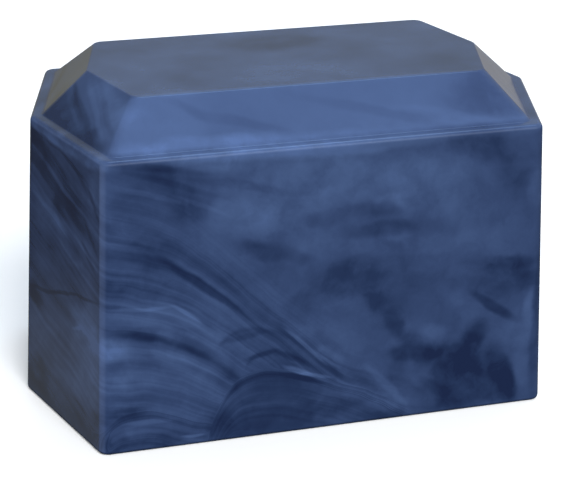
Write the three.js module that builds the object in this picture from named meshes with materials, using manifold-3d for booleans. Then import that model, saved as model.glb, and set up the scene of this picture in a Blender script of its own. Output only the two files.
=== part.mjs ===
// Funeral urn of cast marbled resin: a long six-sided box with drafted walls, a narrow ledge and a raised,
// bevelled top, all cast as one hollow piece. Its filling hole is in the base, closed by a screw-in stopper.
// Millimetres, +Z up. The origin is the middle of the underside, X runs along the width, and -Y is the front.
import * as THREE from "three";
import { mergeVertices } from "three/addons/utils/BufferGeometryUtils.js";
import Module from "manifold-3d";

// Plan of the casting at its base. The two ends come to a shallow ridge halfway along the depth.
const BASE_WIDTH = 264; // from end ridge to end ridge
const BASE_DEPTH = 157;
const FRONT_WIDTH = 220.4; // the flat front, between its two upright edges
const EDGE_RADIUS = 5; // every upright edge

// Heights, and how far each line of the casting lies inside the base outline.
const HEIGHT = 163;
const LEDGE_HEIGHT = 142.8;
const DRAFT = 6.4; // lean of the walls from the base up to the ledge
const LEDGE_WIDTH = 5.2;
const BEVEL_RUN = 21.5; // plan width of the bevel from the ledge up to the top face
const TOP_EDGE_RADIUS = 1.5;
const BEVEL_FOOT_RADIUS = 1;
const SHOULDER_RADIUS = 2.4;
const BASE_EDGE_RADIUS = 2;

// Hollow of the casting.
const WALL = 10;
const BASE_THICKNESS = 12;
const CORE_EDGE_RADIUS = 6;

// Filling hole through the base, with a recess for the stopper's flange.
const HOLE_RADIUS = 32;
const RECESS_RADIUS = 38.5;
const RECESS_DEPTH = 4;

// Stopper, set in from the underside so that the urn stands on the casting.
const STOPPER_GAP = 0.3;
const FLANGE_THICKNESS = 3;
const STOPPER_HEIGHT = 9.5; // from the flange's underside to the inner end
const WELL_RADIUS = 24; // finger well in the flange
const WELL_DEPTH = 6;
const GRIP_THICKNESS = 6; // bar across the well, to turn the stopper by
const GRIP_OVERLAP = 1;
const FLANGE_EDGE_RADIUS = 1;

// Fineness of the round shapes, and how far a cutting tool runs past the face that it cuts.
const ARC_DIVISIONS = 2; // a rounded corner has twice as many steps
const ROUND_SIDES = 48;
const OVERCUT = 1;

const wasm = await Module();
wasm.setup();

// A line through the given corners, rounded by each corner's radius. An open line keeps its two ends sharp.
function roundedLine(corners, radii, closed) {
  const line = new THREE.Path();
  const count = corners.length;
  corners.forEach((corner, i) => {
    const isEnd = !closed && (i === 0 || i === count - 1);
    if (isEnd) {
      if (i === 0) line.moveTo(corner.x, corner.y);
      else line.lineTo(corner.x, corner.y);
      return;
    }
    const before = corners[(i + count - 1) % count].clone().sub(corner).normalize();
    const after = corners[(i + 1) % count].clone().sub(corner).normalize();
    const halfAngle = Math.acos(before.dot(after)) / 2;
    const reach = radii[i] / Math.tan(halfAngle);
    const toCentre = before.clone().add(after).normalize();
    const centre = toCentre.multiplyScalar(radii[i] / Math.sin(halfAngle)).add(corner);
    const start = before.multiplyScalar(reach).add(corner).sub(centre);
    const end = after.multiplyScalar(reach).add(corner).sub(centre);
    const clockwise = start.cross(end) < 0;
    if (closed && i === 0) line.moveTo(centre.x + start.x, centre.y + start.y);
    line.absarc(centre.x, centre.y, radii[i], start.angle(), end.angle(), clockwise);
  });
  return line.getPoints(ARC_DIVISIONS);
}

// The plan's six corners, anticlockwise from the front left, moved in from the base outline by an inset.
function planCorners(inset) {
  const depth = BASE_DEPTH / 2;
  const ridge = (BASE_WIDTH - FRONT_WIDTH) / 2; // how far an end ridge stands out past the front's edge
  const end = Math.hypot(depth, ridge); // length of one of the four end walls
  const x = FRONT_WIDTH / 2 - (inset * (end - ridge)) / depth;
  const y = depth - inset;
  const tip = BASE_WIDTH / 2 - (inset * end) / depth;
  return [
    new THREE.Vector2(-x, -y),
    new THREE.Vector2(x, -y),
    new THREE.Vector2(tip, 0),
    new THREE.Vector2(x, y),
    new THREE.Vector2(-x, y),
    new THREE.Vector2(-tip, 0),
  ];
}

// A closed solid from a profile of (inset, height) points, run round the six-sided plan from top to bottom.
function castSolid(profile, edgeRadius) {
  const positions = [];
  const indices = [];
  profile.forEach(({ x: inset, y: height }) => {
    const corners = planCorners(inset);
    const radii = corners.map(() => edgeRadius);
    roundedLine(corners, radii, true).forEach((point) => positions.push(point.x, point.y, height));
  });
  const sides = positions.length / 3 / profile.length;
  const topCentre = positions.length / 3;
  const bottomCentre = topCentre + 1;
  positions.push(0, 0, profile[0].y, 0, 0, profile[profile.length - 1].y);
  const lastRing = (profile.length - 1) * sides;
  for (let i = 0; i < sides; i++) {
    const next = (i + 1) % sides;
    indices.push(topCentre, i, next, bottomCentre, lastRing + next, lastRing + i);
    for (let ring = 0; ring < lastRing; ring += sides) {
      const below = ring + sides;
      indices.push(ring + i, below + i, below + next, ring + i, below + next, ring + next);
    }
  }
  const geometry = new THREE.BufferGeometry();
  geometry.setAttribute("position", new THREE.Float32BufferAttribute(positions, 3));
  geometry.setIndex(indices);
  return geometry;
}

// A round disc standing on a height, about the urn's own upright axis.
function roundSolid(radius, bottom, top) {
  return new THREE.CylinderGeometry(radius, radius, top - bottom, ROUND_SIDES)
    .rotateX(Math.PI / 2)
    .translate(0, 0, (bottom + top) / 2);
}

// A three.js geometry as a solid that can be cut and joined.
function solidFrom(geometry) {
  const bare = geometry.clone();
  bare.deleteAttribute("normal");
  bare.deleteAttribute("uv");
  const merged = mergeVertices(bare);
  const vertProperties = merged.attributes.position.array;
  const triVerts = new Uint32Array(merged.index.array);
  return new wasm.Manifold(new wasm.Mesh({ numProp: 3, vertProperties, triVerts }));
}

// A cut or joined solid as a three.js geometry with flat facets.
function geometryFrom(solid) {
  const { vertProperties, triVerts } = solid.getMesh();
  const geometry = new THREE.BufferGeometry();
  geometry.setAttribute("position", new THREE.BufferAttribute(vertProperties, 3));
  geometry.setIndex(new THREE.BufferAttribute(triVerts, 1));
  const facets = geometry.toNonIndexed();
  facets.computeVertexNormals();
  return facets;
}

// Outside of the casting: top face, bevel, ledge, shoulder, drafted wall and base edge.
function outerProfile() {
  const ledgeFoot = DRAFT + LEDGE_WIDTH;
  const topEdge = ledgeFoot + BEVEL_RUN;
  const corners = [
    new THREE.Vector2(topEdge + EDGE_RADIUS, HEIGHT),
    new THREE.Vector2(topEdge, HEIGHT),
    new THREE.Vector2(ledgeFoot, LEDGE_HEIGHT),
    new THREE.Vector2(DRAFT, LEDGE_HEIGHT),
    new THREE.Vector2(0, 0),
    new THREE.Vector2(EDGE_RADIUS, 0),
  ];
  const radii = [0, TOP_EDGE_RADIUS, BEVEL_FOOT_RADIUS, SHOULDER_RADIUS, BASE_EDGE_RADIUS, 0];
  return roundedLine(corners, radii, false);
}

// Hollow of the casting, one wall inside the outside: its ceiling and bevel run level with those above them.
function coreProfile() {
  const bevelRise = HEIGHT - LEDGE_HEIGHT;
  const bevelSlope = bevelRise / BEVEL_RUN;
  const bevelDrop = WALL * Math.hypot(1, bevelSlope); // the wall's thickness, measured straight down
  const bevelHeightAt = (inset) => LEDGE_HEIGHT + (inset - DRAFT - LEDGE_WIDTH) * bevelSlope - bevelDrop;
  const lean = DRAFT / LEDGE_HEIGHT;
  const wallFoot = WALL * Math.hypot(1, lean); // inset of the inner wall at the level of the underside
  const ceiling = HEIGHT - WALL;
  const ceilingEdge = DRAFT + LEDGE_WIDTH + (ceiling - LEDGE_HEIGHT + bevelDrop) / bevelSlope;
  const wallTop = (wallFoot + lean * bevelHeightAt(0)) / (1 - lean * bevelSlope);
  const floorEdge = wallFoot + lean * BASE_THICKNESS;
  const corners = [
    new THREE.Vector2(ceilingEdge + CORE_EDGE_RADIUS, ceiling),
    new THREE.Vector2(ceilingEdge, ceiling),
    new THREE.Vector2(wallTop, bevelHeightAt(wallTop)),
    new THREE.Vector2(floorEdge, BASE_THICKNESS),
    new THREE.Vector2(floorEdge + 2 * CORE_EDGE_RADIUS, BASE_THICKNESS),
  ];
  const radii = [0, CORE_EDGE_RADIUS, CORE_EDGE_RADIUS, CORE_EDGE_RADIUS, 0];
  return roundedLine(corners, radii, false);
}

function urnBody() {
  const hole = roundSolid(HOLE_RADIUS, -OVERCUT, BASE_THICKNESS + OVERCUT);
  const recess = roundSolid(RECESS_RADIUS, -OVERCUT, RECESS_DEPTH);
  const casting = solidFrom(castSolid(outerProfile(), EDGE_RADIUS))
    .subtract(solidFrom(castSolid(coreProfile(), CORE_EDGE_RADIUS)))
    .subtract(solidFrom(hole))
    .subtract(solidFrom(recess));
  const marbledResin = new THREE.MeshStandardMaterial({ color: 0x3a4c78, roughness: 0.18, metalness: 0 });
  const mesh = new THREE.Mesh(geometryFrom(casting), marbledResin);
  mesh.name = "urn_body";
  return mesh;
}

function baseStopper() {
  const underside = RECESS_DEPTH - STOPPER_GAP - FLANGE_THICKNESS;
  const flangeRadius = RECESS_RADIUS - STOPPER_GAP;
  const plugRadius = HOLE_RADIUS - STOPPER_GAP;
  const flangeTop = underside + FLANGE_THICKNESS;
  const innerEnd = underside + STOPPER_HEIGHT;
  const wellTop = underside + WELL_DEPTH;
  const section = [
    new THREE.Vector2(0, wellTop),
    new THREE.Vector2(WELL_RADIUS, wellTop),
    new THREE.Vector2(WELL_RADIUS, underside),
    new THREE.Vector2(flangeRadius - FLANGE_EDGE_RADIUS, underside),
    new THREE.Vector2(flangeRadius, underside + FLANGE_EDGE_RADIUS),
    new THREE.Vector2(flangeRadius, flangeTop),
    new THREE.Vector2(plugRadius, flangeTop),
    new THREE.Vector2(plugRadius, innerEnd),
    new THREE.Vector2(0, innerEnd),
  ];
  const turned = new THREE.LatheGeometry(section, ROUND_SIDES).rotateX(Math.PI / 2);
  const gripHeight = WELL_DEPTH + GRIP_OVERLAP;
  const grip = new THREE.BoxGeometry(2 * (WELL_RADIUS + GRIP_OVERLAP), GRIP_THICKNESS, gripHeight);
  grip.translate(0, 0, underside + gripHeight / 2);
  const blackPlastic = new THREE.MeshStandardMaterial({ color: 0x1b1b1d, roughness: 0.45, metalness: 0 });
  const mesh = new THREE.Mesh(geometryFrom(solidFrom(turned).add(solidFrom(grip))), blackPlastic);
  mesh.name = "base_stopper";
  return mesh;
}

const urn = new THREE.Group();
urn.name = "funeral_urn";
urn.add(urnBody(), baseStopper());

export default urn;
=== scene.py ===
# %% [markdown]
# # A marbled funeral urn
# The urn is one hollow casting of blue marbled resin: a long six-sided box with leaning walls, a narrow
# ledge and a raised, bevelled top. A black stopper closes the filling hole in its base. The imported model
# already holds both pieces at their real size. This lesson rounds every edge smoothly, pours the marbling
# as a procedural finish, and lights the urn as in a small photo studio. All sizes are in metres, +Z is up
# and -Y is the front.

# %% load the frame
import math

import bmesh
import bpy
from mathutils import Matrix, Vector


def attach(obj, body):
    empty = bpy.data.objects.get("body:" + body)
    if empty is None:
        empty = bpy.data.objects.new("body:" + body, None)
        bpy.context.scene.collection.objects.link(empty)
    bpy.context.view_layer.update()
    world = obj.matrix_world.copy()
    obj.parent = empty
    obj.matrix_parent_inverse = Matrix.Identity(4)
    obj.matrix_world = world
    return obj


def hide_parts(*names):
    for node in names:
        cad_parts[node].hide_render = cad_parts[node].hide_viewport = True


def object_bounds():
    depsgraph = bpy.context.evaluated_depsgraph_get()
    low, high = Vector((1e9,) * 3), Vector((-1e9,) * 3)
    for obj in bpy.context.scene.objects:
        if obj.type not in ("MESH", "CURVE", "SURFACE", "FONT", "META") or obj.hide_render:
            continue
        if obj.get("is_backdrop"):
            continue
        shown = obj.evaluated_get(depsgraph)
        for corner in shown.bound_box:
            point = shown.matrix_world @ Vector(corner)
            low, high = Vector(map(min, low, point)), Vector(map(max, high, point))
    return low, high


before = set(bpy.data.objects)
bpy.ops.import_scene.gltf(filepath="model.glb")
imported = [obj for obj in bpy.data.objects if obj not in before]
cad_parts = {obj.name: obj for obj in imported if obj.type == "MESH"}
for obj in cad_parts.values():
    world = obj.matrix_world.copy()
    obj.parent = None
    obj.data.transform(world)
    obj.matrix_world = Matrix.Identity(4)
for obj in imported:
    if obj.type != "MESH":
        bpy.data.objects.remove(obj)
CAD_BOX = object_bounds()
MM = 0.001
LITRE = 0.001
print("solids:", sorted(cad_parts), "box:", [round(v, 4) for corner in CAD_BOX for v in corner])

# %% [markdown]
# ## Camera
# The photograph was taken with a long lens, a little to the left of the urn and from above. Three angles,
# a distance and a point to aim at describe that view. Turning a camera is easiest as a product of plain
# rotations: tip it up from looking straight down, turn it round the urn, and roll it about its own line
# of sight.

# %% camera
LENS = 117.9
SENSOR = 36.0
VIEW_AZIMUTH = math.radians(-17.09)
VIEW_ELEVATION = math.radians(22.56)
VIEW_ROLL = math.radians(0.91)
VIEW_DISTANCE = 0.9405
AIM = Vector((0.0009, 0, 0.0661))


def make_camera():
    turn = Matrix.Rotation(VIEW_AZIMUTH, 4, "Z")
    tip = Matrix.Rotation(math.pi / 2 - VIEW_ELEVATION, 4, "X")
    roll = Matrix.Rotation(VIEW_ROLL, 4, "Z")
    back_off = Matrix.Translation((0, 0, VIEW_DISTANCE))
    data = bpy.data.cameras.new("camera")
    data.lens = LENS
    data.sensor_width = SENSOR
    camera = bpy.data.objects.new("camera", data)
    camera.matrix_world = Matrix.Translation(AIM) @ turn @ tip @ back_off @ roll
    bpy.context.scene.collection.objects.link(camera)
    bpy.context.scene.camera = camera
    return camera


camera = make_camera()
print("camera at", [round(v, 3) for v in camera.matrix_world.translation])

# %% [markdown]
# ## The casting's outlines
# Seen from above, every level of the casting is the same long hexagon, only moved inwards. So one
# function draws the outline at any inset and height: six corners make a face, a vertex bevel rounds the
# corners, and the face is thrown away so that its edges stay as a closed loop. Insetting one face again
# and again would also work, but an inset larger than a corner's radius would fold the corner over itself.

# %% outline of one level
BASE_WIDTH = 264 * MM
BASE_DEPTH = 157 * MM
FRONT_WIDTH = 220.4 * MM
EDGE_RADIUS = 5 * MM
EDGE_STEPS = 8
RIDGE_TURN = 2 * math.atan2(BASE_WIDTH - FRONT_WIDTH, BASE_DEPTH)
CORNER_TURN = (math.pi - RIDGE_TURN) / 2


def plan_corners(inset):
    """Six corners, anticlockwise from the front left, moved in from the base outline."""
    half_depth = BASE_DEPTH / 2
    x = FRONT_WIDTH / 2 - inset * math.tan(CORNER_TURN / 2)
    y = half_depth - inset
    tip = BASE_WIDTH / 2 - inset / math.cos(RIDGE_TURN / 2)
    return [(-x, -y), (x, -y), (tip, 0), (x, y), (-x, y), (-tip, 0)]


def outline(bm, inset, height, radius=EDGE_RADIUS):
    """Adds the rounded outline at one level and returns its edges."""
    known = set(bm.edges)
    corners = [bm.verts.new((x, y, height)) for x, y in plan_corners(inset)]
    bm.faces.new(corners)
    ridges = [v for v in corners if v.co.y == 0]
    others = [v for v in corners if v.co.y != 0]
    for picked, turn in ((ridges, RIDGE_TURN), (others, CORNER_TURN)):
        bmesh.ops.bevel(
            bm, geom=picked, affect="VERTICES", offset=radius * math.tan(turn / 2),
            segments=EDGE_STEPS, profile=0.5, material=-1,
        )
    loop = [e for e in bm.edges if e not in known]
    bmesh.ops.delete(bm, geom=list(loop[0].link_faces), context="FACES_ONLY")
    return loop


trial = bmesh.new()
trial_loop = outline(trial, 0, 0)
reach = [max(v.co[axis] for v in trial.verts) for axis in (0, 1)]
print("base outline:", len(trial_loop), "edges,", [round(2 * r / MM, 2) for r in reach], "mm across")
trial.free()

# %% [markdown]
# ## Lofts
# A loft joins outlines at several levels into one closed solid. bridge_loops makes each band of faces,
# and a face closes each end. Where two levels lie at the same height, as on the ledge, a bridge can join
# the loops the wrong way round, because it can't tell which one comes first. So the upper loop is lifted
# for the bridge and then set back down.

# %% loft
LIFT = 1 * MM


def verts_of(edges):
    return list(dict.fromkeys(v for e in edges for v in e.verts))


def loft(levels, radius):
    """A closed solid through rounded outlines at (inset, height) levels, from the bottom up."""
    bm = bmesh.new()
    loops = [outline(bm, inset, height, radius) for inset, height in levels]
    for lower, upper in zip(loops, loops[1:]):
        bmesh.ops.translate(bm, verts=verts_of(upper), vec=(0, 0, LIFT))
        bmesh.ops.bridge_loops(bm, edges=lower + upper)
        bmesh.ops.translate(bm, verts=verts_of(upper), vec=(0, 0, -LIFT))
    for end in (loops[0], loops[-1]):
        bmesh.ops.edgeloop_fill(bm, edges=end)
    bmesh.ops.recalc_face_normals(bm, faces=bm.faces)
    print("loft:", len(bm.faces), "faces,", round(bm.calc_volume() / LITRE, 3), "litres")
    return bm


# %% [markdown]
# ## Outside of the casting
# The walls lean in, as a mould needs so that the casting slides out of it. Four levels describe the
# outside: base, shoulder, foot of the bevel, and top. Scaling the base outline for each level would be
# shorter, but it would shrink the radius of the corners too.

# %% loft of the outside
HEIGHT = CAD_BOX[1].z
LEDGE_HEIGHT = 142.8 * MM
DRAFT = 6.4 * MM
LEDGE_WIDTH = 5.2 * MM
BEVEL_RUN = 21.5 * MM
BEVEL_SLOPE = (HEIGHT - LEDGE_HEIGHT) / BEVEL_RUN
BEVEL_FOOT = DRAFT + LEDGE_WIDTH
OUTSIDE_LEVELS = [
    (0, 0),
    (DRAFT, LEDGE_HEIGHT),
    (BEVEL_FOOT, LEDGE_HEIGHT),
    (BEVEL_FOOT + BEVEL_RUN, HEIGHT),
]
urn = loft(OUTSIDE_LEVELS, EDGE_RADIUS)

# %% [markdown]
# ## Hollow of the casting
# The urn is empty, with walls of one thickness. The hollow is a loft too, one wall inside the outside, so
# its bevel and ceiling run level with those above them. Solidify would give the wall as well, but it
# would copy the stopper's recess onto the inner floor, where the real casting is plain.

# %% loft of the hollow
WALL = 10 * MM
BASE_THICKNESS = 12 * MM
HOLLOW_RADIUS = 6 * MM


def hollow_levels():
    """Floor edge, top of the inner wall and ceiling edge, as (inset, height)."""
    bevel_drop = WALL * math.hypot(1, BEVEL_SLOPE)
    bevel_start = LEDGE_HEIGHT - BEVEL_FOOT * BEVEL_SLOPE - bevel_drop
    lean = DRAFT / LEDGE_HEIGHT
    wall_foot = WALL * math.hypot(1, lean)
    wall_top = (wall_foot + lean * bevel_start) / (1 - lean * BEVEL_SLOPE)
    ceiling = HEIGHT - WALL
    return [
        (wall_foot + lean * BASE_THICKNESS, BASE_THICKNESS),
        (wall_top, bevel_start + wall_top * BEVEL_SLOPE),
        ((ceiling - bevel_start) / BEVEL_SLOPE, ceiling),
    ]


hollow = loft(hollow_levels(), HOLLOW_RADIUS)

# %% [markdown]
# ## Rounded rims
# A rim is where two bands of faces meet at an angle, such as wall and ledge. Looking for level edges by
# height and by whether they stick out finds each rim without keeping lists of edges while the mesh
# changes. A bevel's reach, from the rim to where the rounding starts, follows from the radius and from
# the turn between the faces. A bevel modifier would round all rims alike, but each rim of the real
# casting has its own softness.

# %% round the rims
SHARP_TURN = math.radians(20)
TOUCH = 0.01 * MM
OUT = True
IN = False


def round_rim(bm, height, sticks_out, radius, steps):
    """Rounds the sharp level edges at one height."""
    rim = []
    for edge in bm.edges:
        is_level = all(abs(v.co.z - height) < TOUCH for v in edge.verts)
        if is_level and edge.calc_face_angle(0) > SHARP_TURN and edge.is_convex == sticks_out:
            rim.append(edge)
    turn = max(edge.calc_face_angle() for edge in rim)
    bmesh.ops.bevel(
        bm, geom=rim, affect="EDGES", offset=radius * math.tan(turn / 2),
        segments=steps, profile=0.5, material=-1,
    )
    print("rim at", round(height / MM, 1), "mm:", len(rim), "edges, radius", round(radius / MM, 1), "mm")


round_rim(urn, HEIGHT, OUT, radius=1.5 * MM, steps=3)
round_rim(urn, LEDGE_HEIGHT, IN, radius=1 * MM, steps=3)
round_rim(urn, LEDGE_HEIGHT, OUT, radius=2.4 * MM, steps=5)
round_rim(urn, 0, OUT, radius=2 * MM, steps=4)
for _, height in hollow_levels():
    round_rim(hollow, height, OUT, radius=HOLLOW_RADIUS, steps=4)

# %% [markdown]
# ## The filling hole
# The hole goes through the base, with a wider recess below for the stopper's flange. It starts as a
# circle in the underside, and each step of it is the last circle extruded, then scaled or lifted. The
# faces that closed the two lofts below are taken away, and triangle_fill closes what is left of them
# round the hole.

# %% hole, recess and flat rings
HOLE_RADIUS = 32 * MM
RECESS_RADIUS = 38.5 * MM
RECESS_DEPTH = 4 * MM
ROUND_STEPS = 96


def circle(bm, radius, height):
    """Adds a bare circle about the upright axis and returns its edges."""
    place = Matrix.Translation((0, 0, height))
    made = bmesh.ops.create_circle(bm, cap_ends=False, radius=radius, segments=ROUND_STEPS, matrix=place)
    return list(dict.fromkeys(e for v in made["verts"] for e in v.link_edges))


def step(bm, loop, grow=1.0, lift=0.0):
    """Extrudes a loop of edges, scales it about the upright axis, lifts it and returns the new loop."""
    made = bmesh.ops.extrude_edge_only(bm, edges=loop)["geom"]
    verts = [part for part in made if isinstance(part, bmesh.types.BMVert)]
    bmesh.ops.scale(bm, verts=verts, vec=(grow, grow, 1))
    bmesh.ops.translate(bm, verts=verts, vec=(0, 0, lift))
    edges = [part for part in made if isinstance(part, bmesh.types.BMEdge)]
    return [e for e in edges if all(v in verts for v in e.verts)]


def open_below(bm):
    """Takes away the lowest face and returns its edges."""
    face = min(bm.faces, key=lambda f: f.calc_center_median().z)
    rim = list(face.edges)
    bmesh.ops.delete(bm, geom=[face], context="FACES_ONLY")
    return rim


def join(bm, other):
    """Adds another bmesh's faces to this one and frees the other."""
    carrier = bpy.data.meshes.new("carrier")
    other.to_mesh(carrier)
    other.free()
    bm.from_mesh(carrier)
    bpy.data.meshes.remove(carrier)


base_rim = open_below(urn)
mouth = circle(urn, RECESS_RADIUS, 0)
bmesh.ops.triangle_fill(urn, use_beauty=True, edges=base_rim + mouth)
recess_floor = step(urn, step(urn, mouth, lift=RECESS_DEPTH), grow=HOLE_RADIUS / RECESS_RADIUS)
hole_top = step(urn, recess_floor, lift=BASE_THICKNESS - RECESS_DEPTH)
open_below(hollow)
join(urn, hollow)
inner_rims = [e for e in urn.edges if e.is_boundary]
bmesh.ops.triangle_fill(urn, use_beauty=True, edges=inner_rims)
bmesh.ops.recalc_face_normals(urn, faces=urn.faces)
walls = urn.calc_volume() / LITRE
closed = all(e.is_manifold for e in urn.edges)
print("closed:", closed, "faces:", len(urn.faces), "walls:", round(walls, 3), "litres")

# %% [markdown]
# ## From bmesh to a piece
# Every finished mesh becomes an object that rides on the urn's one body and stands for its solid.
# Weighted normals let the big flat faces decide the shading, so flats stay flat and only the roundings
# turn the light.

# %% finish a piece
def finish_piece(bm, name, node):
    mesh = bpy.data.meshes.new(name)
    bm.to_mesh(mesh)
    bm.free()
    mesh.shade_smooth()
    piece = bpy.data.objects.new(name, mesh)
    bpy.context.scene.collection.objects.link(piece)
    weighted = piece.modifiers.new("flats stay flat", "WEIGHTED_NORMAL")
    weighted.keep_sharp = True
    weighted.weight = 100
    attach(piece, "root")
    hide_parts(node)
    size = [round(d / MM, 1) for d in piece.dimensions]
    print(name, len(mesh.polygons), "faces,", size, "mm")
    return piece


casting = finish_piece(urn, "marbled_casting", "urn_body")

# %% [markdown]
# ## The stopper
# The stopper is a plastic moulding: a plug, a flange that sits in the recess, and a round well with a bar
# across it to turn the stopper by. One circle, extruded step by step, makes the plug and flange. The
# well's disc is cut by two planes into a bar and two half moons, and pushing the half moons inwards
# leaves the bar standing, with no boolean.

# %% stopper
GAP = 0.3 * MM
FLANGE_THICKNESS = 3 * MM
STOPPER_HEIGHT = 9.5 * MM
WELL_RADIUS = 24 * MM
WELL_DEPTH = 6 * MM
GRIP_THICKNESS = 6 * MM
STOPPER_EDGE = 0.6 * MM
STOPPER_UNDERSIDE = RECESS_DEPTH - GAP - FLANGE_THICKNESS


def make_stopper():
    bm = bmesh.new()
    plug_radius = HOLE_RADIUS - GAP
    flange_radius = RECESS_RADIUS - GAP
    inner_end = circle(bm, plug_radius, STOPPER_UNDERSIDE + STOPPER_HEIGHT)
    neck = step(bm, inner_end, lift=FLANGE_THICKNESS - STOPPER_HEIGHT)
    flange = step(bm, neck, grow=flange_radius / plug_radius)
    underside = step(bm, flange, lift=-FLANGE_THICKNESS)
    well = step(bm, underside, grow=WELL_RADIUS / flange_radius)
    for end in (inner_end, well):
        bmesh.ops.edgeloop_fill(bm, edges=end)
    return bm


def cut_well(bm):
    """Cuts the well's disc into a bar and two half moons, and pushes the half moons inwards."""
    def well_faces():
        return [f for f in bm.faces if f.calc_center_median().xy.length < WELL_RADIUS
                and abs(f.calc_center_median().z - STOPPER_UNDERSIDE) < TOUCH]

    for side in (-1, 1):
        disc = well_faces()
        geom = disc + list(dict.fromkeys(part for f in disc for part in (*f.edges, *f.verts)))
        bar_edge = (0, side * GRIP_THICKNESS / 2, 0)
        bmesh.ops.bisect_plane(bm, geom=geom, dist=TOUCH, plane_co=bar_edge, plane_no=(0, 1, 0))
    moons = [f for f in well_faces() if abs(f.calc_center_median().y) > GRIP_THICKNESS / 2]
    pushed = bmesh.ops.extrude_face_region(bm, geom=moons)["geom"]
    verts = [part for part in pushed if isinstance(part, bmesh.types.BMVert)]
    bmesh.ops.translate(bm, verts=verts, vec=(0, 0, WELL_DEPTH))
    bmesh.ops.delete(bm, geom=moons, context="FACES_ONLY")
    bmesh.ops.recalc_face_normals(bm, faces=bm.faces)
    print("stopper closed:", all(e.is_manifold for e in bm.edges), len(bm.faces), "faces")


stopper_mesh = make_stopper()
cut_well(stopper_mesh)
round_rim(stopper_mesh, STOPPER_UNDERSIDE, OUT, radius=STOPPER_EDGE, steps=3)
stopper = finish_piece(stopper_mesh, "stopper", "base_stopper")

# %% [markdown]
# ## Nodes in few words
# A material is a graph of nodes. A few small helpers keep it readable: one adds any node and plugs values
# or other nodes' outputs into it, two write sums of numbers and of vectors, and the last two add noise
# and a soft step. Whole node trees could be drawn by hand in the editor, but written out they can be
# read, changed and repeated in loops.

# %% node helpers
def add_node(tree, kind, inputs=None, **options):
    node = tree.nodes.new(kind)
    for option, value in options.items():
        setattr(node, option, value)
    for key, value in (inputs or {}).items():
        if isinstance(value, bpy.types.NodeSocket):
            tree.links.new(value, node.inputs[key])
        else:
            node.inputs[key].default_value = value
    return node


def calc(tree, operation, *values):
    return add_node(tree, "ShaderNodeMath", dict(enumerate(values)), operation=operation).outputs[0]


def vector_calc(tree, operation, *values):
    return add_node(tree, "ShaderNodeVectorMath", dict(enumerate(values)), operation=operation).outputs[0]


def noise(tree, place, scale, detail=2.0, roughness=0.5, output="Fac"):
    inputs = {"Vector": place, "Scale": scale, "Detail": detail, "Roughness": roughness}
    return add_node(tree, "ShaderNodeTexNoise", inputs).outputs[output]


def smooth_step(tree, value, start, end):
    """0 before the start and 1 past the end, which this node gives without a clamp."""
    inputs = {"Value": value, "From Min": start, "From Max": end}
    node = add_node(tree, "ShaderNodeMapRange", inputs, interpolation_type="SMOOTHSTEP", clamp=False)
    return node.outputs["Result"]


def new_material(name):
    material = bpy.data.materials.new(name)
    material.use_nodes = True
    tree = material.node_tree
    return material, tree, tree.nodes["Principled BSDF"]


def add_bump(tree, shader, height, strength, depth):
    bump = add_node(tree, "ShaderNodeBump", {"Height": height, "Strength": strength, "Distance": depth})
    tree.links.new(bump.outputs["Normal"], shader.inputs["Normal"])


def name_and_size(material):
    return f"{material.name}: {len(material.node_tree.nodes)} nodes"


print("node helpers:", [helper.__name__ for helper in (add_node, calc, vector_calc, noise, smooth_step)])

# %% [markdown]
# ## Marbling
# Two shades of resin are poured together and stirred once. The layers were laid nearly level, then slid
# down towards the right, and lower down some of them rolled over each other. So the finish starts from a
# layer height: the real height plus a slide, stirred by noise. An image would be quicker, but it would
# fit one side only, and it would show its seams on the bevels.

# %% stir and slide
SLIDE_DROP = 104 * MM
SLIDE_MIDDLE = -20 * MM
SLIDE_LENGTH = 40 * MM
SLIDE_LEAN = 0.2
LAYER_TILT = 0.33
FRONT_Y = -BASE_DEPTH / 2


def stirred(tree, place, size, reach, detail=2.0):
    """Moves a place by noise of one size, by about half the reach each way at most."""
    swirl = noise(tree, place, 1 / size, detail=detail, roughness=0.5, output="Color")
    shift = vector_calc(tree, "MULTIPLY_ADD", swirl, (reach,) * 3, (-reach / 2,) * 3)
    return vector_calc(tree, "ADD", place, shift)


def axes_of(tree, place):
    return add_node(tree, "ShaderNodeSeparateXYZ", {"Vector": place}).outputs


def slid_height(tree, place):
    """Layer height: equal along the layers, which slide down to the right and down towards the front."""
    axes = axes_of(tree, place)
    leaning_x = calc(tree, "MULTIPLY_ADD", axes["Z"], SLIDE_LEAN, axes["X"])
    past_middle = calc(tree, "SUBTRACT", leaning_x, SLIDE_MIDDLE)
    along = calc(tree, "TANH", calc(tree, "DIVIDE", past_middle, SLIDE_LENGTH))
    slide = calc(tree, "MULTIPLY_ADD", along, SLIDE_DROP / 2, SLIDE_DROP / 2)
    behind = calc(tree, "SUBTRACT", axes["Y"], FRONT_Y)
    return calc(tree, "MULTIPLY_ADD", behind, -LAYER_TILT, calc(tree, "ADD", axes["Z"], slide))


print("layers slide down by", round(SLIDE_DROP / MM), "mm over about", round(2 * SLIDE_LENGTH / MM), "mm")

# %% [markdown]
# ## Rolls
# Where layers rolled over, they show as a wave: a crest, a steep side on the left and a long slope on the
# right. The distance above or below that wave says where the roll is, how its layers run and where its
# dark edge lies. A wave texture would draw many rolls at once, but each of these has its own place and
# slope.

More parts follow.
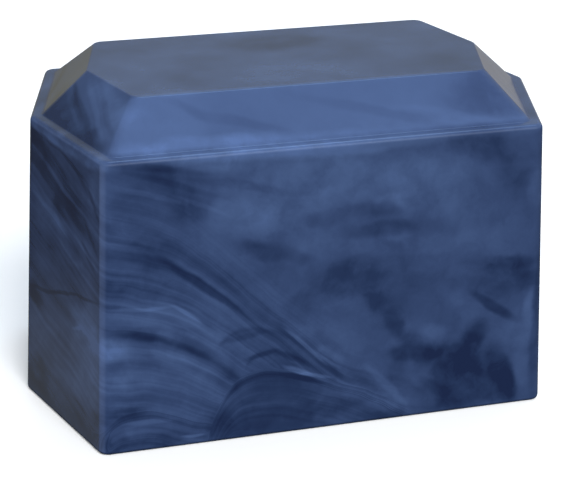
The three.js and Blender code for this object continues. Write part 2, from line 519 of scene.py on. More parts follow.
# %% rolls
ROLLS = [
    # crest X and Z, width of the steep side, how far it falls, slope and softness of the long side,
    # thickness, dark edge, dark inside, and whether the layers inside run along the wave
    (-0.038, 0.0560, 0.025, 0.010, 1.05, 0.025, 0.014, 0.16, 0.05, 0),
    (-0.031, 0.0420, 0.017, 0.007, 0.85, 0.025, 0.012, 0.16, 0.06, 0),
    (-0.091, 0.0185, 0.029, 0.012, 0.50, 0.020, 0.020, 0.18, 0.02, 1),
    (-0.035, 0.0310, 0.023, 0.060, 0.68, 0.060, 0.060, 0.30, 0.12, 1),
]
STEEP_DROP = 26 * MM
EDGE_THICKNESS = 1.6 * MM
EDGE_LENGTH = 50 * MM
EDGE_FALL = 12 * MM
ROLL_DEPTH = 30 * MM
ROLL_FULL = 0.3
ROLL_GONE = 1.6
STEEPENING = 3.0


def fade(tree, value, width):
    """1 where the value is zero, fading away on both sides of it."""
    scaled = calc(tree, "DIVIDE", value, width)
    return calc(tree, "EXPONENT", calc(tree, "MULTIPLY", calc(tree, "MULTIPLY", scaled, scaled), -1.0))


def above_roll(tree, place, crest_x, crest_z, steep_width, slope, softness):
    """Height above a roll's wave, with the wave's drop on its steep side and the run along the other."""
    offset = axes_of(tree, vector_calc(tree, "SUBTRACT", place, (crest_x, 0, crest_z)))
    left = calc(tree, "MAXIMUM", calc(tree, "MULTIPLY", offset["X"], -1.0), 0.0)
    left = calc(tree, "DIVIDE", left, steep_width)
    steep = calc(tree, "MULTIPLY", calc(tree, "POWER", left, STEEPENING), STEEP_DROP)
    right = calc(tree, "MAXIMUM", offset["X"], 0.0)
    soft = calc(tree, "DIVIDE", right, calc(tree, "ADD", right, softness))
    gentle = calc(tree, "MULTIPLY", calc(tree, "MULTIPLY", right, soft), slope)
    return calc(tree, "ADD", offset["Z"], calc(tree, "ADD", steep, gentle)), steep, right


def rolled_layers(tree, place, height):
    """Layer height with the rolls in it, and how much the rolls darken each place."""
    near_front = fade(tree, calc(tree, "SUBTRACT", axes_of(tree, place)["Y"], FRONT_Y), ROLL_DEPTH)
    shade = 0.0
    for crest_x, crest_z, steep_width, fall, slope, softness, *rest in ROLLS:
        thickness, edge_dark, inside_dark, layered = rest
        above, drop, run = above_roll(tree, place, crest_x, crest_z, steep_width, slope, softness)
        there = calc(tree, "MULTIPLY", smooth_step(tree, drop, fall, ROLL_FULL * fall), near_front)
        under_edge = smooth_step(tree, above, 2 * EDGE_THICKNESS, -EDGE_THICKNESS)
        near_edge = smooth_step(tree, above, -ROLL_GONE * thickness, -ROLL_FULL * thickness)
        inside = calc(tree, "MULTIPLY", calc(tree, "MULTIPLY", under_edge, near_edge), there)
        if layered:
            # the crest's X only keeps two rolls from showing the same streaks
            own_height = calc(tree, "ADD", above, crest_x)
            height = calc(tree, "MULTIPLY_ADD", inside, calc(tree, "SUBTRACT", own_height, height), height)
        line = calc(tree, "MULTIPLY", fade(tree, above, EDGE_THICKNESS), fade(tree, run, EDGE_LENGTH))
        edge = calc(tree, "MULTIPLY", calc(tree, "MULTIPLY", line, there), fade(tree, drop, EDGE_FALL))
        dark = calc(tree, "MULTIPLY_ADD", edge, edge_dark, calc(tree, "MULTIPLY", inside, inside_dark))
        outside = calc(tree, "SUBTRACT", 1.0, inside)
        shade = calc(tree, "MULTIPLY_ADD", shade, outside, dark)
    return height, shade


print("rolls:", len(ROLLS), "with crests at X", [round(roll[0] / MM) for roll in ROLLS], "mm")

# %% [markdown]
# ## Veins
# A vein is one thin layer of unmixed resin. It runs along one layer height, over a stretch of the urn's
# length. Dark ones have a depth above zero, pale ones below. A vein could be drawn point by point, but a
# layer height follows the slide and the stirring by itself.

# %% veins
VEINS = [
    # layer height, thickness, middle and half length along X, and depth of colour
    (0.1150, 0.0024, -0.105, 0.050, 0.26),
    (0.1080, 0.0012, -0.110, 0.040, -0.16),
    (0.1010, 0.0040, -0.110, 0.045, 0.12),
    (0.1205, 0.0018, -0.040, 0.022, 0.18),
    (0.0930, 0.0014, -0.095, 0.030, 0.18),
    (0.0830, 0.0010, -0.085, 0.030, -0.16),
    (0.0780, 0.0010, -0.085, 0.030, -0.14),
    (0.0620, 0.0028, -0.074, 0.030, 0.46),
    (0.0535, 0.0016, -0.062, 0.020, 0.24),
]


def vein_depth(tree, place, height):
    across = axes_of(tree, place)["X"]
    depth = 0.0
    for layer, thickness, middle, half_length, strength in VEINS:
        line = fade(tree, calc(tree, "SUBTRACT", height, layer), thickness)
        stretch = fade(tree, calc(tree, "SUBTRACT", across, middle), half_length)
        depth = calc(tree, "MULTIPLY_ADD", calc(tree, "MULTIPLY", line, stretch), strength, depth)
    return depth


print("veins:", len(VEINS), "of which pale:", sum(vein[-1] < 0 for vein in VEINS))

# %% [markdown]
# ## Plumes and strokes
# A plume is a soft oval cloud of dark or pale resin, which may lie at a tilt. A stroke is a plume drawn
# out into a line. Both are placed face by face, in that face's own directions: along the face from its
# middle, in from the foot of the wall, and up. A few of them are painted light rather than resin: highlights
# along the shoulders and shade on the left ledge, marked where they stand. A painted picture would be
# another way, but these few numbers can be moved one by one.

# %% plumes
END_DISTANCE = BASE_WIDTH / 2 * math.sin(CORNER_TURN)
# inset of each band of faces from the foot of the wall, well inside the band
TOP_STRIP = 22 * MM
ON_WALL = 3 * MM
ON_LEDGE = DRAFT + LEDGE_WIDTH / 2
ON_BEVEL = BEVEL_FOOT + BEVEL_RUN / 2
ON_TOP = BEVEL_FOOT + BEVEL_RUN + TOP_STRIP
FACES = {
    # turn that brings the face to the front, distance of its foot from the axis, and inset
    "front": (0.0, BASE_DEPTH / 2, ON_WALL),
    "left": (CORNER_TURN, END_DISTANCE, ON_WALL),
    "front ledge": (0.0, BASE_DEPTH / 2, ON_LEDGE),
    "front bevel": (0.0, BASE_DEPTH / 2, ON_BEVEL),
    "left bevel": (CORNER_TURN, END_DISTANCE, ON_BEVEL),
    "left ledge": (CORNER_TURN, END_DISTANCE, ON_LEDGE),
    "front of top": (0.0, BASE_DEPTH / 2, ON_TOP),
    "back of top": (0.0, BASE_DEPTH / 2, BASE_DEPTH - ON_TOP),
}
# how far an oval reaches into the resin, how far past its half size it fades, and where it is full
PLUME_DEPTH = 14 * MM
SOFT_REACH = 1.5
SOFT_RISE = 0.7
PLUMES = {
    # along, up, half length, half height, tilt in degrees and depth of colour, all lengths in millimetres
    "front": [
        # dark, from left to right
        (-109, 18, 6, 4, 0, 0.2), (-100, 21, 11, 2.8, 10, 0.24), (-95, 78, 20, 11, 0, 0.08),
        (-90, 140, 16, 3, -6, 0.14), (-88, 5, 24, 5, 0, 0.22), (-88, 61, 10, 2, -10, 0.14),
        (-88, 83, 24, 11, 0, 0.13), (-84, 96, 18, 6, -34, 0.1), (-78, 132, 24, 9, -14, 0.18),
        (-66, 56, 8, 3, -20, 0.18), (-66, 117, 11, 7, -15, 0.18), (-60, 124, 8, 8, 0, 0.1),
        (-58, 10, 7, 5, 0, 0.16), (-53, 8, 8, 6, 60, 0.22), (-51, 40, 10, 13, 0, 0.1),
        (-50, 30, 5, 6, 0, 0.14), (-42, 16, 6, 5, 0, 0.14), (-32, 95, 13, 4, -15, 0.2),
        (-20, 7, 32, 7, 0, 0.1), (-17, 90, 9, 3, -20, 0.14), (-14, 66, 8, 7, 0, 0.18),
        (-4, 107, 11, 4, 0, 0.14), (0, 10, 12, 5, 0, 0.2), (6, 64, 14, 8, 0, 0.08),
        (8, 76, 18, 9, -5, 0.28), (17, 84, 8, 4, 0, 0.14), (20, 18, 10, 3, -35, 0.16),
        (20, 109, 14, 3.5, -5, 0.16), (23, 70, 9, 9, -20, 0.14), (26, 62, 10, 6, -35, 0.24),
        (26, 100, 20, 3.5, 0, 0.18), (30, 57, 14, 8, 0, 0.1), (33, 50, 7, 4, -60, 0.24),
        (35, 26, 5, 8, 0, 0.14), (38, 122, 9, 5, 0, 0.08), (40, 36, 9, 6, 0, 0.1),
        (41, 41, 7, 4, -30, 0.16), (45, 32, 9, 4, 0, 0.1), (46, 34, 16, 4, -4, 0.26),
        (49, 31, 5, 5, 0, 0.14), (55, 14, 10, 2.8, -35, 0.22), (60, 18, 7, 7, 0, 0.16),
        (62, 7, 9, 6, -45, 0.2), (63, 30, 11, 7, -15, 0.24), (68, 31, 5, 5, 0, 0.12),
        (68, 113, 9, 9, 0, 0.12), (70, 16, 22, 14, 0, 0.32), (72, 19, 7, 6, 0, 0.16),
        (72, 24, 10, 3, -30, 0.18), (72, 130, 8, 4, -20, 0.12), (74, 31, 8, 5, 75, 0.14),
        (75, 36, 12, 6, 72, 0.34), (78, 78, 10, 5, 0, 0.14), (82, 25, 5, 7, 0, 0.16),
        (82, 56, 14, 7, -30, 0.1), (82, 135, 26, 7, -12, 0.2), (84, 68, 18, 9, 0, 0.2),
        (87, 27, 7, 4.5, -65, 0.18), (88, 5, 8, 3, 0, 0.18), (88, 76, 17, 3.5, -4, 0.18),
        (90, 73, 8, 4, 0, 0.14), (90, 119, 9, 8, -40, 0.12), (91, 17, 17, 5.5, -71, 0.22),
        (94, 9, 6, 8, 0, 0.14), (95, 12, 10, 4, -75, 0.14), (96, 6, 8, 5, 0, 0.14),
        (102, 66, 6, 5, 0, 0.1), (108, 40, 2.5, 40, 0, 0.16),
        # pale, from left to right
        (-110, 50, 8, 7, 0, -0.2), (-106, 52, 10, 5.5, 0, -0.44), (-106, 112, 14, 5, -20, -0.14),
        (-102, 44, 12, 8, 0, -0.14), (-94, 36, 14, 6, 0, -0.18), (-92, 106, 10, 4, -20, -0.18),
        (-90, 131, 12, 4, -10, -0.12), (-76, 54, 7, 3, -20, -0.14), (-75, 46, 10, 3, -20, -0.12),
        (-54, 26, 5, 7, 0, -0.06), (-52, 138, 18, 4, 0, -0.16), (-42, 137, 9, 5, 0, -0.2),
        (-40, 111, 18, 8, -10, -0.18), (-18, 100, 6, 12, 0, -0.14), (-15, 52, 8, 5, -40, -0.18),
        (-5, 126, 50, 14, 0, -0.3), (-4, 103, 30, 13, 0, -0.12), (0, 22, 18, 8, -30, -0.12),
        (1, 35, 10, 4, -40, -0.16), (10, 44, 12, 7, -40, -0.1), (20, 72, 12, 4, 0, -0.08),
        (26, 7, 12, 3, 0, -0.14), (30, 112, 8, 4, 0, -0.14), (33, 97, 7, 4, 0, -0.16),
        (40, 90, 24, 6, -4, -0.12), (48, 19, 6, 4, 0, -0.16), (50, 78, 10, 4, 0, -0.1),
        (52, 117, 24, 13, 0, -0.22), (55, 44, 7, 4, -10, -0.16), (66, 60, 7, 5, 0, -0.12),
        (95, 134, 10, 5, 0, -0.14), (98, 38, 12, 6, 0, -0.12), (101, 20, 4, 16, 0, -0.06),
        (103, 113, 5, 9, 0, -0.16), (104, 50, 3, 9, 0, -0.18),
    ],
    "left": [
        # dark, from left to right
        (-36, 60, 5, 90, 0, 0.04), (-34, 126, 4, 16, 0, 0.3), (-27, 53, 9, 5, 0, 0.16),
        (-26, 57, 7, 6, 0, 0.22), (-24, 14, 12, 9, 0, 0.34), (-24, 127, 13, 8, -12, 0.14),
        (-22, 40, 26, 60, 0, 0.08), (-22, 90, 13, 8, -10, 0.04), (-22, 130, 14, 3.5, -14, 0.26),
        (-12, 87, 10, 4, -10, 0.16), (-2, 107, 8, 5, -20, 0.28), (0, 4, 60, 7, 0, 0.2),
        (0, 83, 14, 7, -20, 0.06), (2, 110, 11, 6, -20, 0.06), (3, 65, 6, 3, 0, 0.08),
        (5, 60, 5, 6, 0, 0.08), (20, 73, 14, 3, 8, 0.06), (20, 112, 14, 8, -20, 0.18),
        (22, 37, 10, 8, 0, 0.14),
        # pale, from left to right
        (-18, 45, 14, 5, 0, -0.12), (-14, 75, 12, 3, -10, -0.16), (-12, 96, 18, 12, 0, -0.1),
        # (0, 140) is a painted highlight along the rounded top edge of the left wall
        (-10, 100, 16, 4, -14, -0.22), (0, 140, 50, 3.5, 0, -0.56), (5, 22, 20, 4, 0, -0.14),
        (15, 124, 18, 2.6, -20, -0.16), (16, 89, 14, 4, -5, -0.18), (22, 54, 9, 4, 10, -0.22),
        (28, 36, 16, 16, 0, -0.34), (28, 61, 14, 7, 8, -0.34), (30, 100, 14, 30, 0, -0.12),
        (34, 125, 8, 14, 0, -0.16), (36, 130, 6, 10, 0, -0.2), (40, 54, 8, 8, 0, -0.2),
        (40, 58, 5, 6, 0, -0.2),
    ],
    "front ledge": [
        # pale, from left to right: partly paler resin and partly a painted highlight along the front
        # shoulder, fading to the right
        (-60, 143, 80, 4, 0, -0.34), (85, 143, 40, 4, 0, -0.18),
    ],
    "front bevel": [
        # dark, from left to right
        (88, 152, 24, 30, 0, 0.2),
        # pale, from left to right
        (-90, 150, 30, 30, 0, -0.1),
    ],
    "left bevel": [
        # dark, from left to right
        (-22, 147, 20, 7, -12, 0.36), (4, 145, 26, 4, -6, 0.3),
        # pale, from left to right
        (4, 159, 26, 5, -10, -0.24),
    ],
    "left ledge": [
        # dark: painted shade on the left ledge, in the crease at the foot of the bevel
        (10, 143, 50, 4, 0, 0.3),
    ],
    "front of top": [
        # dark, from left to right
        (-55, 163, 24, 9, 0, 0.1), (80, 163, 24, 12, 0, 0.1),
        # pale, from left to right
        (-15, 163, 30, 9, 0, -0.12), (40, 163, 30, 9, 0, -0.06),
    ],
    "back of top": [
        # dark, from left to right
        (0, 163, 26, 9, 0, 0.22),
        # pale, from left to right
        (-40, 163, 20, 9, 0, -0.08), (65, 163, 24, 9, 0, -0.1),
    ],
}
STROKES = {
    # the same values as for the plumes
    "front": [
        # dark, from left to right
        (-89, 57.5, 9, 2.2, -12, 0.2), (-84, 97, 16, 2.0, -36, 0.1), (-82, 138, 22, 1.8, -10, 0.18),
        (-74, 130, 22, 1.6, -20, 0.14), (-64, 50, 11, 3, -32, 0.26), (-62, 64, 12, 1.0, -38, 0.14),
        (-60, 80, 28, 2.2, -38, 0.32), (-48, 79, 10, 1.2, -42, 0.1), (-42, 52.5, 10, 1.6, 8, 0.16),
        (-38, 126, 28, 2, -12, 0.12), (-33, 41.5, 8, 1.2, 8, 0.18), (-19, 38, 9, 1.4, -30, 0.18),
        (-14, 27.3, 10, 1.4, -17, 0.34), (4, 28, 13, 1.5, -35, 0.16), (85, 54, 14, 2.6, -36, 0.36),
        # pale, from left to right
        (-90, 72, 16, 1.0, -2, -0.18), (-88, 16, 12, 1.2, 0, -0.16), (-86, 126, 18, 1.4, -20, -0.14),
        (-68, 67, 8, 1.0, -35, -0.28), (-66, 6.5, 5, 0.8, -5, -0.3), (-62, 119, 14, 1.2, -24, -0.14),
        (-16, 31, 7, 1.3, -22, -0.5), (-12, 43, 13, 1.0, -44, -0.44), (-7, 28, 8, 0.9, -14, -0.36),
        # (6, 140) is a painted highlight: the glow just under the front shoulder
        (-2, 36, 8, 0.9, -36, -0.24), (6, 140, 52, 3.2, 0, -0.3), (30, 11, 16, 8, -20, -0.1),
        (31, 17, 14, 2.0, -48, -0.2),
    ],
    "left": [
        # dark, from left to right
        (-16, 61, 20, 0.9, 14, 0.28), (-16, 137, 16, 1.1, -6, 0.3), (-8, 120, 12, 1.8, -22, 0.14),
        (4, 66.8, 11, 1.0, 15, 0.28), (10, 82, 18, 1.2, -20, 0.14), (12, 132.5, 14, 1.2, -16, 0.3),
        (14, 113.5, 13, 1.5, -13, 0.2), (20, 92, 18, 1.2, -22, 0.16), (25, 72, 13, 0.9, 11, 0.28),
        (26, 14.5, 14, 1.2, -6, 0.16), (26, 125, 13, 1.6, -28, 0.26), (30, 94, 9, 2, -42, 0.22),
        (31, 105, 9, 1.4, -42, 0.18), (32, 121, 9, 1.3, -48, 0.26),
        # pale, from left to right
        (-22, 106, 10, 1.2, -10, -0.14), (0, 99, 16, 1.2, -18, -0.14), (20, 54, 6, 0.9, 25, -0.3),
        (24, 97, 14, 1.2, -24, -0.12), (30, 55, 7, 0.9, -8, -0.26),
    ],
    "front bevel": [
        # dark, from left to right
        (-40, 152, 40, 2, -16, 0.1), (30, 150, 45, 2, -14, 0.09),
        # pale, from left to right
        (70, 146, 30, 1.6, -10, -0.08),
    ],
    "left bevel": [
        # dark, from left to right
        (-14, 152, 16, 1.3, -22, 0.14), (-4, 150, 26, 1.4, -18, 0.2), (10, 154, 20, 1.2, -20, 0.14),
        # pale, from left to right
        (-8, 148, 18, 1.0, -16, -0.1), (2, 153, 22, 1.2, -20, -0.16),
    ],
}


def on_face(tree, place, turn, distance, inset):
    """A place in a face's own directions: along it, in from its middle layer, and up."""
    move = (0, distance - inset, 0)
    inputs = {"Vector": place, "Rotation": (0, 0, turn), "Location": move}
    return add_node(tree, "ShaderNodeMapping", inputs, vector_type="POINT").outputs[0]


def soft_oval(tree, place, middle, half_size, tilt=0):
    """1 in the middle of an oval cloud, fading to nothing around it."""
    reach = [SOFT_REACH * half for half in half_size]
    inputs = {"Vector": place, "Location": middle, "Scale": reach, "Rotation": (0, math.radians(-tilt), 0)}
    local = add_node(tree, "ShaderNodeMapping", inputs, vector_type="TEXTURE").outputs[0]
    ball = add_node(tree, "ShaderNodeTexGradient", {"Vector": local}, gradient_type="SPHERICAL")
    return smooth_step(tree, ball.outputs["Fac"], 0.0, SOFT_RISE)


def ovals_depth(tree, place, ovals):
    """How much a table of plumes or strokes darkens each place."""
    depth = 0.0
    for face, face_ovals in ovals.items():
        face_place = on_face(tree, place, *FACES[face])
        for along, up, half_length, half_height, tilt, strength in face_ovals:
            half_size = (half_length * MM, PLUME_DEPTH, half_height * MM)
            cloud = soft_oval(tree, face_place, (along * MM, 0, up * MM), half_size, tilt)
            depth = calc(tree, "MULTIPLY_ADD", cloud, strength, depth)
    return depth


for name, ovals in (("plumes", PLUMES), ("strokes", STROKES)):
    print(name + ":", {face: len(face_ovals) for face, face_ovals in ovals.items()})

# %% [markdown]
# ## Tone
# The tone sums it all up: long thin noise along the layers for streaks, rounder, feathery noise for
# clouds, and the veins, rolls, strokes and plumes on top. Streaks belong to the lower layers. The upper
# ones were stirred into clouds, and the bevel is calmer.

# %% tone
BAND_THICKNESS = 12 * MM
THREAD_THICKNESS = 3.4 * MM
STREAK_LENGTH = 140 * MM
CLOUD_SIZE = 45 * MM
WISP_SIZE = 14 * MM
STREAKY_BELOW = 112 * MM
CLOUDY_ABOVE = 150 * MM
STREAKS_END = 0.6
MIDDLE_TONE = 0.57
BAND_STRENGTH = 0.80
THREAD_STRENGTH = 0.65
CLOUD_STRENGTH = 1.0
CALM_CLOUDS = 0.4
LINES_WITH_BANDS = 1.5
WISPS_IN_PATCHES = 0.8
LEAST_PATCH = 0.6
WISPS_START = 0.3
WISPS_FULL = 0.7
WALL_FADE = 8 * MM
TOP_FADE = 2 * MM


def along_layers(tree, place, height, thickness, detail):
    """Noise that is long along the layers and thin across them, about zero on average."""
    axes = axes_of(tree, place)
    layer_place = add_node(tree, "ShaderNodeCombineXYZ", {
        "X": calc(tree, "DIVIDE", axes["X"], STREAK_LENGTH),
        "Y": calc(tree, "DIVIDE", axes["Y"], STREAK_LENGTH),
        "Z": calc(tree, "DIVIDE", height, thickness),
    }).outputs[0]
    return calc(tree, "SUBTRACT", noise(tree, layer_place, 1.0, detail=detail, roughness=0.55), 0.5)


def streaky_share(tree, place, height):
    """1 among the lower layers, 0 among the upper ones, which come further down at the front's right."""
    axes = axes_of(tree, place)
    near_front = fade(tree, calc(tree, "SUBTRACT", axes["Y"], FRONT_Y), BASE_DEPTH / 2)
    right = calc(tree, "MULTIPLY", calc(tree, "MAXIMUM", axes["X"], 0.0), near_front)
    layer = calc(tree, "MULTIPLY_ADD", right, STREAKS_END, height)
    return smooth_step(tree, layer, CLOUDY_ABOVE, STREAKY_BELOW)


def streaks_and_clouds(tree, place, slow, feathery, height, bands):
    """The tone before any line or patch is laid on it."""
    threads = along_layers(tree, slow, height, THREAD_THICKNESS, detail=3)
    streaks = calc(tree, "MULTIPLY", bands, BAND_STRENGTH)
    streaks = calc(tree, "MULTIPLY_ADD", threads, THREAD_STRENGTH, streaks)
    clouds = noise(tree, feathery, 1 / CLOUD_SIZE, detail=7, roughness=0.65)
    clouds = calc(tree, "SUBTRACT", clouds, 0.5)
    real_height = axes_of(tree, place)["Z"]
    on_walls = smooth_step(tree, real_height, LEDGE_HEIGHT + WALL_FADE, LEDGE_HEIGHT - LEDGE_WIDTH)
    on_top = smooth_step(tree, real_height, HEIGHT - TOP_FADE, HEIGHT)
    off_bevel = calc(tree, "ADD", on_walls, on_top)
    lively = CLOUD_STRENGTH - CALM_CLOUDS
    cloudy = calc(tree, "MULTIPLY_ADD", off_bevel, lively, CALM_CLOUDS)
    streaky = calc(tree, "MULTIPLY", streaky_share(tree, slow, height), on_walls)
    tone = calc(tree, "MULTIPLY_ADD", streaks, streaky, MIDDLE_TONE)
    return calc(tree, "MULTIPLY_ADD", clouds, cloudy, tone)


print("streaks up to layer", round(STREAKY_BELOW / MM), "mm, clouds from", round(CLOUDY_ABOVE / MM), "mm")

# %% [markdown]
# ## Paler resin and painted light on the front bevel
# The front bevel is paler than the walls. Part of that is its resin, which has fewer dark veins, and part is
# painted light: the bevel is made paler as well, to look as bright as it does facing the key lamp. The
# change comes at the mitre on the left. A second material would give it a hard edge, so this is one more
# soft mask on the tone.

# %% paler resin and painted light
# the bevel's paleness: partly paler resin, partly painted light for the key lamp's light on the bevel
PALENESS_AND_PAINTED_LIGHT = 0.26
PAINTED_LIGHT_FOOT = 2 * MM
PAINTED_LIGHT_TOP = 4 * MM
MITRE_START = -10 * MM
MITRE_END = 4 * MM


def paler_resin_and_painted_light(tree, place):
    """1 on the front bevel, fading out at its foot, at its top and round the mitre on the left."""
    above_ledge = smooth_step(tree, axes_of(tree, place)["Z"], LEDGE_HEIGHT, LEDGE_HEIGHT + PAINTED_LIGHT_FOOT)
    from_front = axes_of(tree, on_face(tree, place, *FACES["front bevel"]))["Y"]
    from_left = axes_of(tree, on_face(tree, place, *FACES["left bevel"]))["Y"]
    below_top = smooth_step(tree, from_front, BEVEL_RUN / 2 + PAINTED_LIGHT_TOP, BEVEL_RUN / 2)
    past_mitre = calc(tree, "SUBTRACT", from_left, from_front)
    past_mitre = smooth_step(tree, past_mitre, MITRE_START, MITRE_END)
    return calc(tree, "MULTIPLY", calc(tree, "MULTIPLY", above_ledge, below_top), past_mitre)


print("pour:", PALENESS_AND_PAINTED_LIGHT, "paler, fading over", round((MITRE_END - MITRE_START) / MM), "mm at the mitre")

# %% [markdown]
# ## All layers together
# Each layer of the finish reads a place that is stirred in its own way: slowly for the streaks, quickly
# for the plumes, and once more for the feathery clouds. Blending finished colours would be another way,
# but stirring the place first keeps every edge as fine as the noise.

# %% all layers together
def marble_tone(tree):
    """How light the marbling is: about 0.1 in the dark plumes and 0.9 in the pale clouds."""
    place = add_node(tree, "ShaderNodeTexCoord").outputs["Object"]
    slow = stirred(tree, place, size=80 * MM, reach=8 * MM)
    wavy = stirred(tree, slow, size=28 * MM, reach=5 * MM)
    quick = stirred(tree, slow, size=18 * MM, reach=7 * MM, detail=5)
    feathery = stirred(tree, quick, size=11 * MM, reach=9 * MM, detail=3)
    height, roll_shade = rolled_layers(tree, wavy, slid_height(tree, wavy))
    bands = along_layers(tree, slow, height, BAND_THICKNESS, detail=3)
    tone = streaks_and_clouds(tree, place, slow, feathery, height, bands)
    # paler resin and painted light on the front bevel
    tone = calc(tree, "MULTIPLY_ADD", paler_resin_and_painted_light(tree, place), PALENESS_AND_PAINTED_LIGHT, tone)
    lines = calc(tree, "ADD", roll_shade, vein_depth(tree, slow, height))
    lines = calc(tree, "ADD", lines, ovals_depth(tree, wavy, STROKES))
    lines = calc(tree, "MULTIPLY", lines, calc(tree, "MULTIPLY_ADD", bands, LINES_WITH_BANDS, 1.0))
    wisps = noise(tree, feathery, 1 / WISP_SIZE, detail=4, roughness=0.55)
    wisps = smooth_step(tree, wisps, WISPS_START, WISPS_FULL)
    uneven = calc(tree, "MULTIPLY_ADD", wisps, WISPS_IN_PATCHES, LEAST_PATCH)
    patches = calc(tree, "MULTIPLY", ovals_depth(tree, quick, PLUMES), uneven)
    return calc(tree, "SUBTRACT", tone, calc(tree, "ADD", lines, patches))


# %% [markdown]
# ## Colour and gloss of the casting
# A colour ramp turns the tone into resin colours, from near-black navy through slate blue to a pale blue.
# The gel coat over it is clear and polished, so one smooth shader with a low roughness stands for both.
# Polishing leaves faint waves, so one noise makes the roughness a little uneven and drives a weak bump.

# %% marbled resin
RESIN_COLOURS = [
    (0.05, (0.0085, 0.0170, 0.054)),
    (0.30, (0.0152, 0.0300, 0.081)),
    (0.60, (0.0318, 0.0556, 0.134)),
    (0.90, (0.0520, 0.0880, 0.195)),
    (1.20, (0.0700, 0.1180, 0.262)),
]
TONE_TOP = 1.25
GEL_COAT_ROUGHNESS = 0.14
GEL_COAT_IOR = 1.5
POLISH_SIZE = 9 * MM
POLISH_VARIATION = 0.08
POLISH_WAVES = 0.3
POLISH_DEPTH = 0.05 * MM


def ramp(tree, value, stops):
    node = add_node(tree, "ShaderNodeValToRGB", {"Fac": value})
    elements = node.color_ramp.elements
    while len(elements) < len(stops):
        elements.new(0.5)
    for element, (position, colour) in zip(elements, stops):
        element.position = position
        element.color = (*colour, 1)
    return node.outputs["Color"]


def marbled_resin():
    material, tree, shader = new_material("marbled_resin")
    share = calc(tree, "DIVIDE", marble_tone(tree), TONE_TOP)
    colour = ramp(tree, share, [(tone / TONE_TOP, colour) for tone, colour in RESIN_COLOURS])
    tree.links.new(colour, shader.inputs["Base Color"])
    place = add_node(tree, "ShaderNodeTexCoord").outputs["Object"]
    polish = noise(tree, place, 1 / POLISH_SIZE, detail=3)
    least_rough = GEL_COAT_ROUGHNESS - POLISH_VARIATION / 2
    roughness = calc(tree, "MULTIPLY_ADD", polish, POLISH_VARIATION, least_rough)
    tree.links.new(roughness, shader.inputs["Roughness"])
    add_bump(tree, shader, polish, POLISH_WAVES, POLISH_DEPTH)
    shader.inputs["IOR"].default_value = GEL_COAT_IOR
    print(name_and_size(material))
    return material


casting.data.materials.append(marbled_resin())

# %% [markdown]
# ## The stopper's plastic
# The stopper is a black moulding with a satin, finely grained face. One fine noise varies the black and
# drives the bump. A flat black would be simpler, but up close the stopper would look like a hole.

# %% black plastic
PLASTIC_BLACKS = [(0.3, (0.010, 0.010, 0.011)), (0.7, (0.016, 0.016, 0.018))]
PLASTIC_ROUGHNESS = 0.42
GRAINS_PER_METRE = 900
GRAIN_STRENGTH = 0.15
GRAIN_DEPTH = 0.2 * MM


def stopper_plastic():
    material, tree, shader = new_material("stopper_plastic")
    place = add_node(tree, "ShaderNodeTexCoord").outputs["Object"]
    grain = noise(tree, place, GRAINS_PER_METRE, detail=3)
    tree.links.new(ramp(tree, grain, PLASTIC_BLACKS), shader.inputs["Base Color"])
    add_bump(tree, shader, grain, GRAIN_STRENGTH, GRAIN_DEPTH)
    shader.inputs["Roughness"].default_value = PLASTIC_ROUGHNESS
    print(name_and_size(material))
    return material


stopper.data.materials.append(stopper_plastic())

# %% [markdown]
# ## Floor
# The urn stands on a plain pale floor that runs far past the view. A backdrop that curves up behind would
# hide the horizon too, but from this height the floor alone fills the view. The gloss doesn't mirror the
# floor, because the surroundings below stand for it.

# %% floor
FLOOR_REACH = 6
FLOOR_WHITE = (0.97, 0.97, 0.97, 1)
FLOOR_ROUGHNESS = 0.9


def make_floor():
    bm = bmesh.new()
    bmesh.ops.create_grid(bm, x_segments=1, y_segments=1, size=FLOOR_REACH)
    mesh = bpy.data.meshes.new("floor")
    bm.to_mesh(mesh)
    bm.free()
    floor = bpy.data.objects.new("floor", mesh)
    bpy.context.scene.collection.objects.link(floor)
    floor.visible_glossy = False
    floor.visible_diffuse = False
    material, _, shader = new_material("pale_floor")
    shader.inputs["Base Color"].default_value = FLOOR_WHITE
    shader.inputs["Roughness"].default_value = FLOOR_ROUGHNESS
    mesh.materials.append(material)
    floor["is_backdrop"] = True
    print("floor:", 2 * FLOOR_REACH, "m across")


make_floor()

# %% [markdown]
# ## Lights
# A large soft light hangs in front, above the camera, and a weak one fills the shade from behind. Area
# lamps would do as well, but a wide sun lamp lights every part of the urn evenly.

# %% lights
def soft_light(name, direction, softness, strength):
    """A wide, even light from one side. The gloss doesn't mirror it: the sky gives the highlights."""
    data = bpy.data.lights.new(name, "SUN")
    data.angle = softness
    data.energy = strength
    light = bpy.data.objects.new(name, data)
    light.rotation_euler = Vector(direction).to_track_quat("Z", "Y").to_euler()
    light.visible_glossy = False
    bpy.context.scene.collection.objects.link(light)
    print(name, "light from", direction, "with strength", strength)


soft_light("key", (0.0, -0.72, 0.69), softness=math.radians(40), strength=3.45)
soft_light("fill", (0.35, 0.75, 0.56), softness=math.radians(60), strength=0.8)

# %% [markdown]
# ## Surroundings
# Polished resin shows its surroundings: a sky that is darker below and paler above, with soft cards that
# stand where each face mirrors them. Lamps with real shapes would give such reflections as well, but a
# card painted on the sky is easier to place.

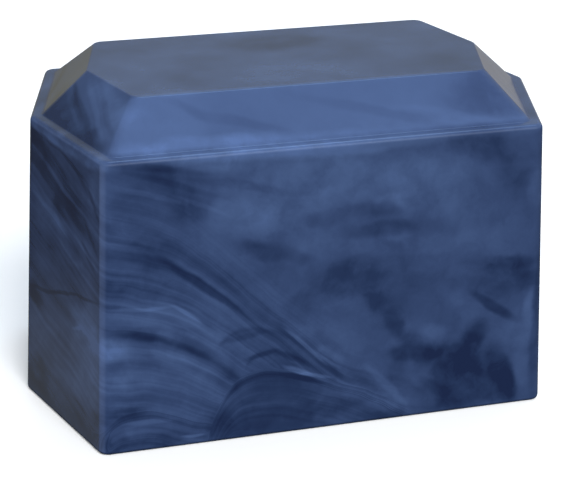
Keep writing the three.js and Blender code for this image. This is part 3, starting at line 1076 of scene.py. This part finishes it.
# %% surroundings
SKY = [
    # height of the direction, from 0 straight down to 1 straight up, and the colour there
    (0.30, (0.060, 0.065, 0.075)),
    (0.45, (0.100, 0.105, 0.120)),
    (0.54, (0.220, 0.225, 0.240)),
    (0.62, (0.350, 0.375, 0.330)),
    (0.75, (0.350, 0.380, 0.350)),
    (0.95, (0.260, 0.270, 0.300)),
]
CARDS = [
    # direction of a soft card, its half size, and the colour that it adds to the sky or takes from it
    ((0.27, -0.80, 0.54), (0.80, 0.24, 0.26), (0.80, 0.86, 0.95)),
    ((0.22, 0.20, 0.94), (0.30, 0.16, 0.13), (1.70, 2.70, 4.20)),
    ((-0.85, -0.10, -0.35), (0.45, 0.58, 0.30), (0.52, 0.67, 1.06)),
    ((-0.63, 0.71, -0.43), (0.30, 0.30, 0.057), (0.18, 0.18, 0.13)),
    ((-0.80, 0.50, -0.33), (0.30, 0.30, 0.18), (0.02, 0.015, 0.01)),
    ((0.11, 0.82, 0.56), (0.12, 0.10, 0.07), (-0.28, -0.26, -0.16)),
    ((-0.59, 0.64, 0.48), (0.28, 0.24, 0.24), (-0.17, -0.17, -0.13)),
    ((-0.16, 0.98, -0.03), (0.17, 0.21, 0.07), (0.28, 0.25, 0.06)),
    ((0.55, 0.83, -0.10), (0.20, 0.20, 0.12), (0.34, 0.32, 0.26)),
]


def make_surroundings():
    world = bpy.data.worlds.new("studio")
    bpy.context.scene.world = world
    world.use_nodes = True
    tree = world.node_tree
    direction = add_node(tree, "ShaderNodeTexCoord").outputs["Generated"]
    share = calc(tree, "MULTIPLY_ADD", axes_of(tree, direction)["Z"], 0.5, 0.5)
    colour = ramp(tree, share, SKY)
    for middle, half_size, card_colour in CARDS:
        glow = soft_oval(tree, direction, middle, half_size)
        colour = vector_calc(tree, "MULTIPLY_ADD", glow, card_colour, colour)
    tree.links.new(colour, tree.nodes["Background"].inputs["Color"])


make_surroundings()
print("surroundings:", len(SKY), "sky colours and", len(CARDS), "cards")
bpy.context.scene.view_settings.view_transform = "Standard"

# %% [markdown]
# ## Size
# The dressed urn has to keep the solids' size, so the change of each corner of its box from the solids' box
# is printed.

# %% size and finish
NEW_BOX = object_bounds()
growth = [new - cad for new_corner, cad_corner in zip(NEW_BOX, CAD_BOX)
          for new, cad in zip(new_corner, cad_corner)]
print("grown by", [round(g / MM, 2) for g in growth], "mm")
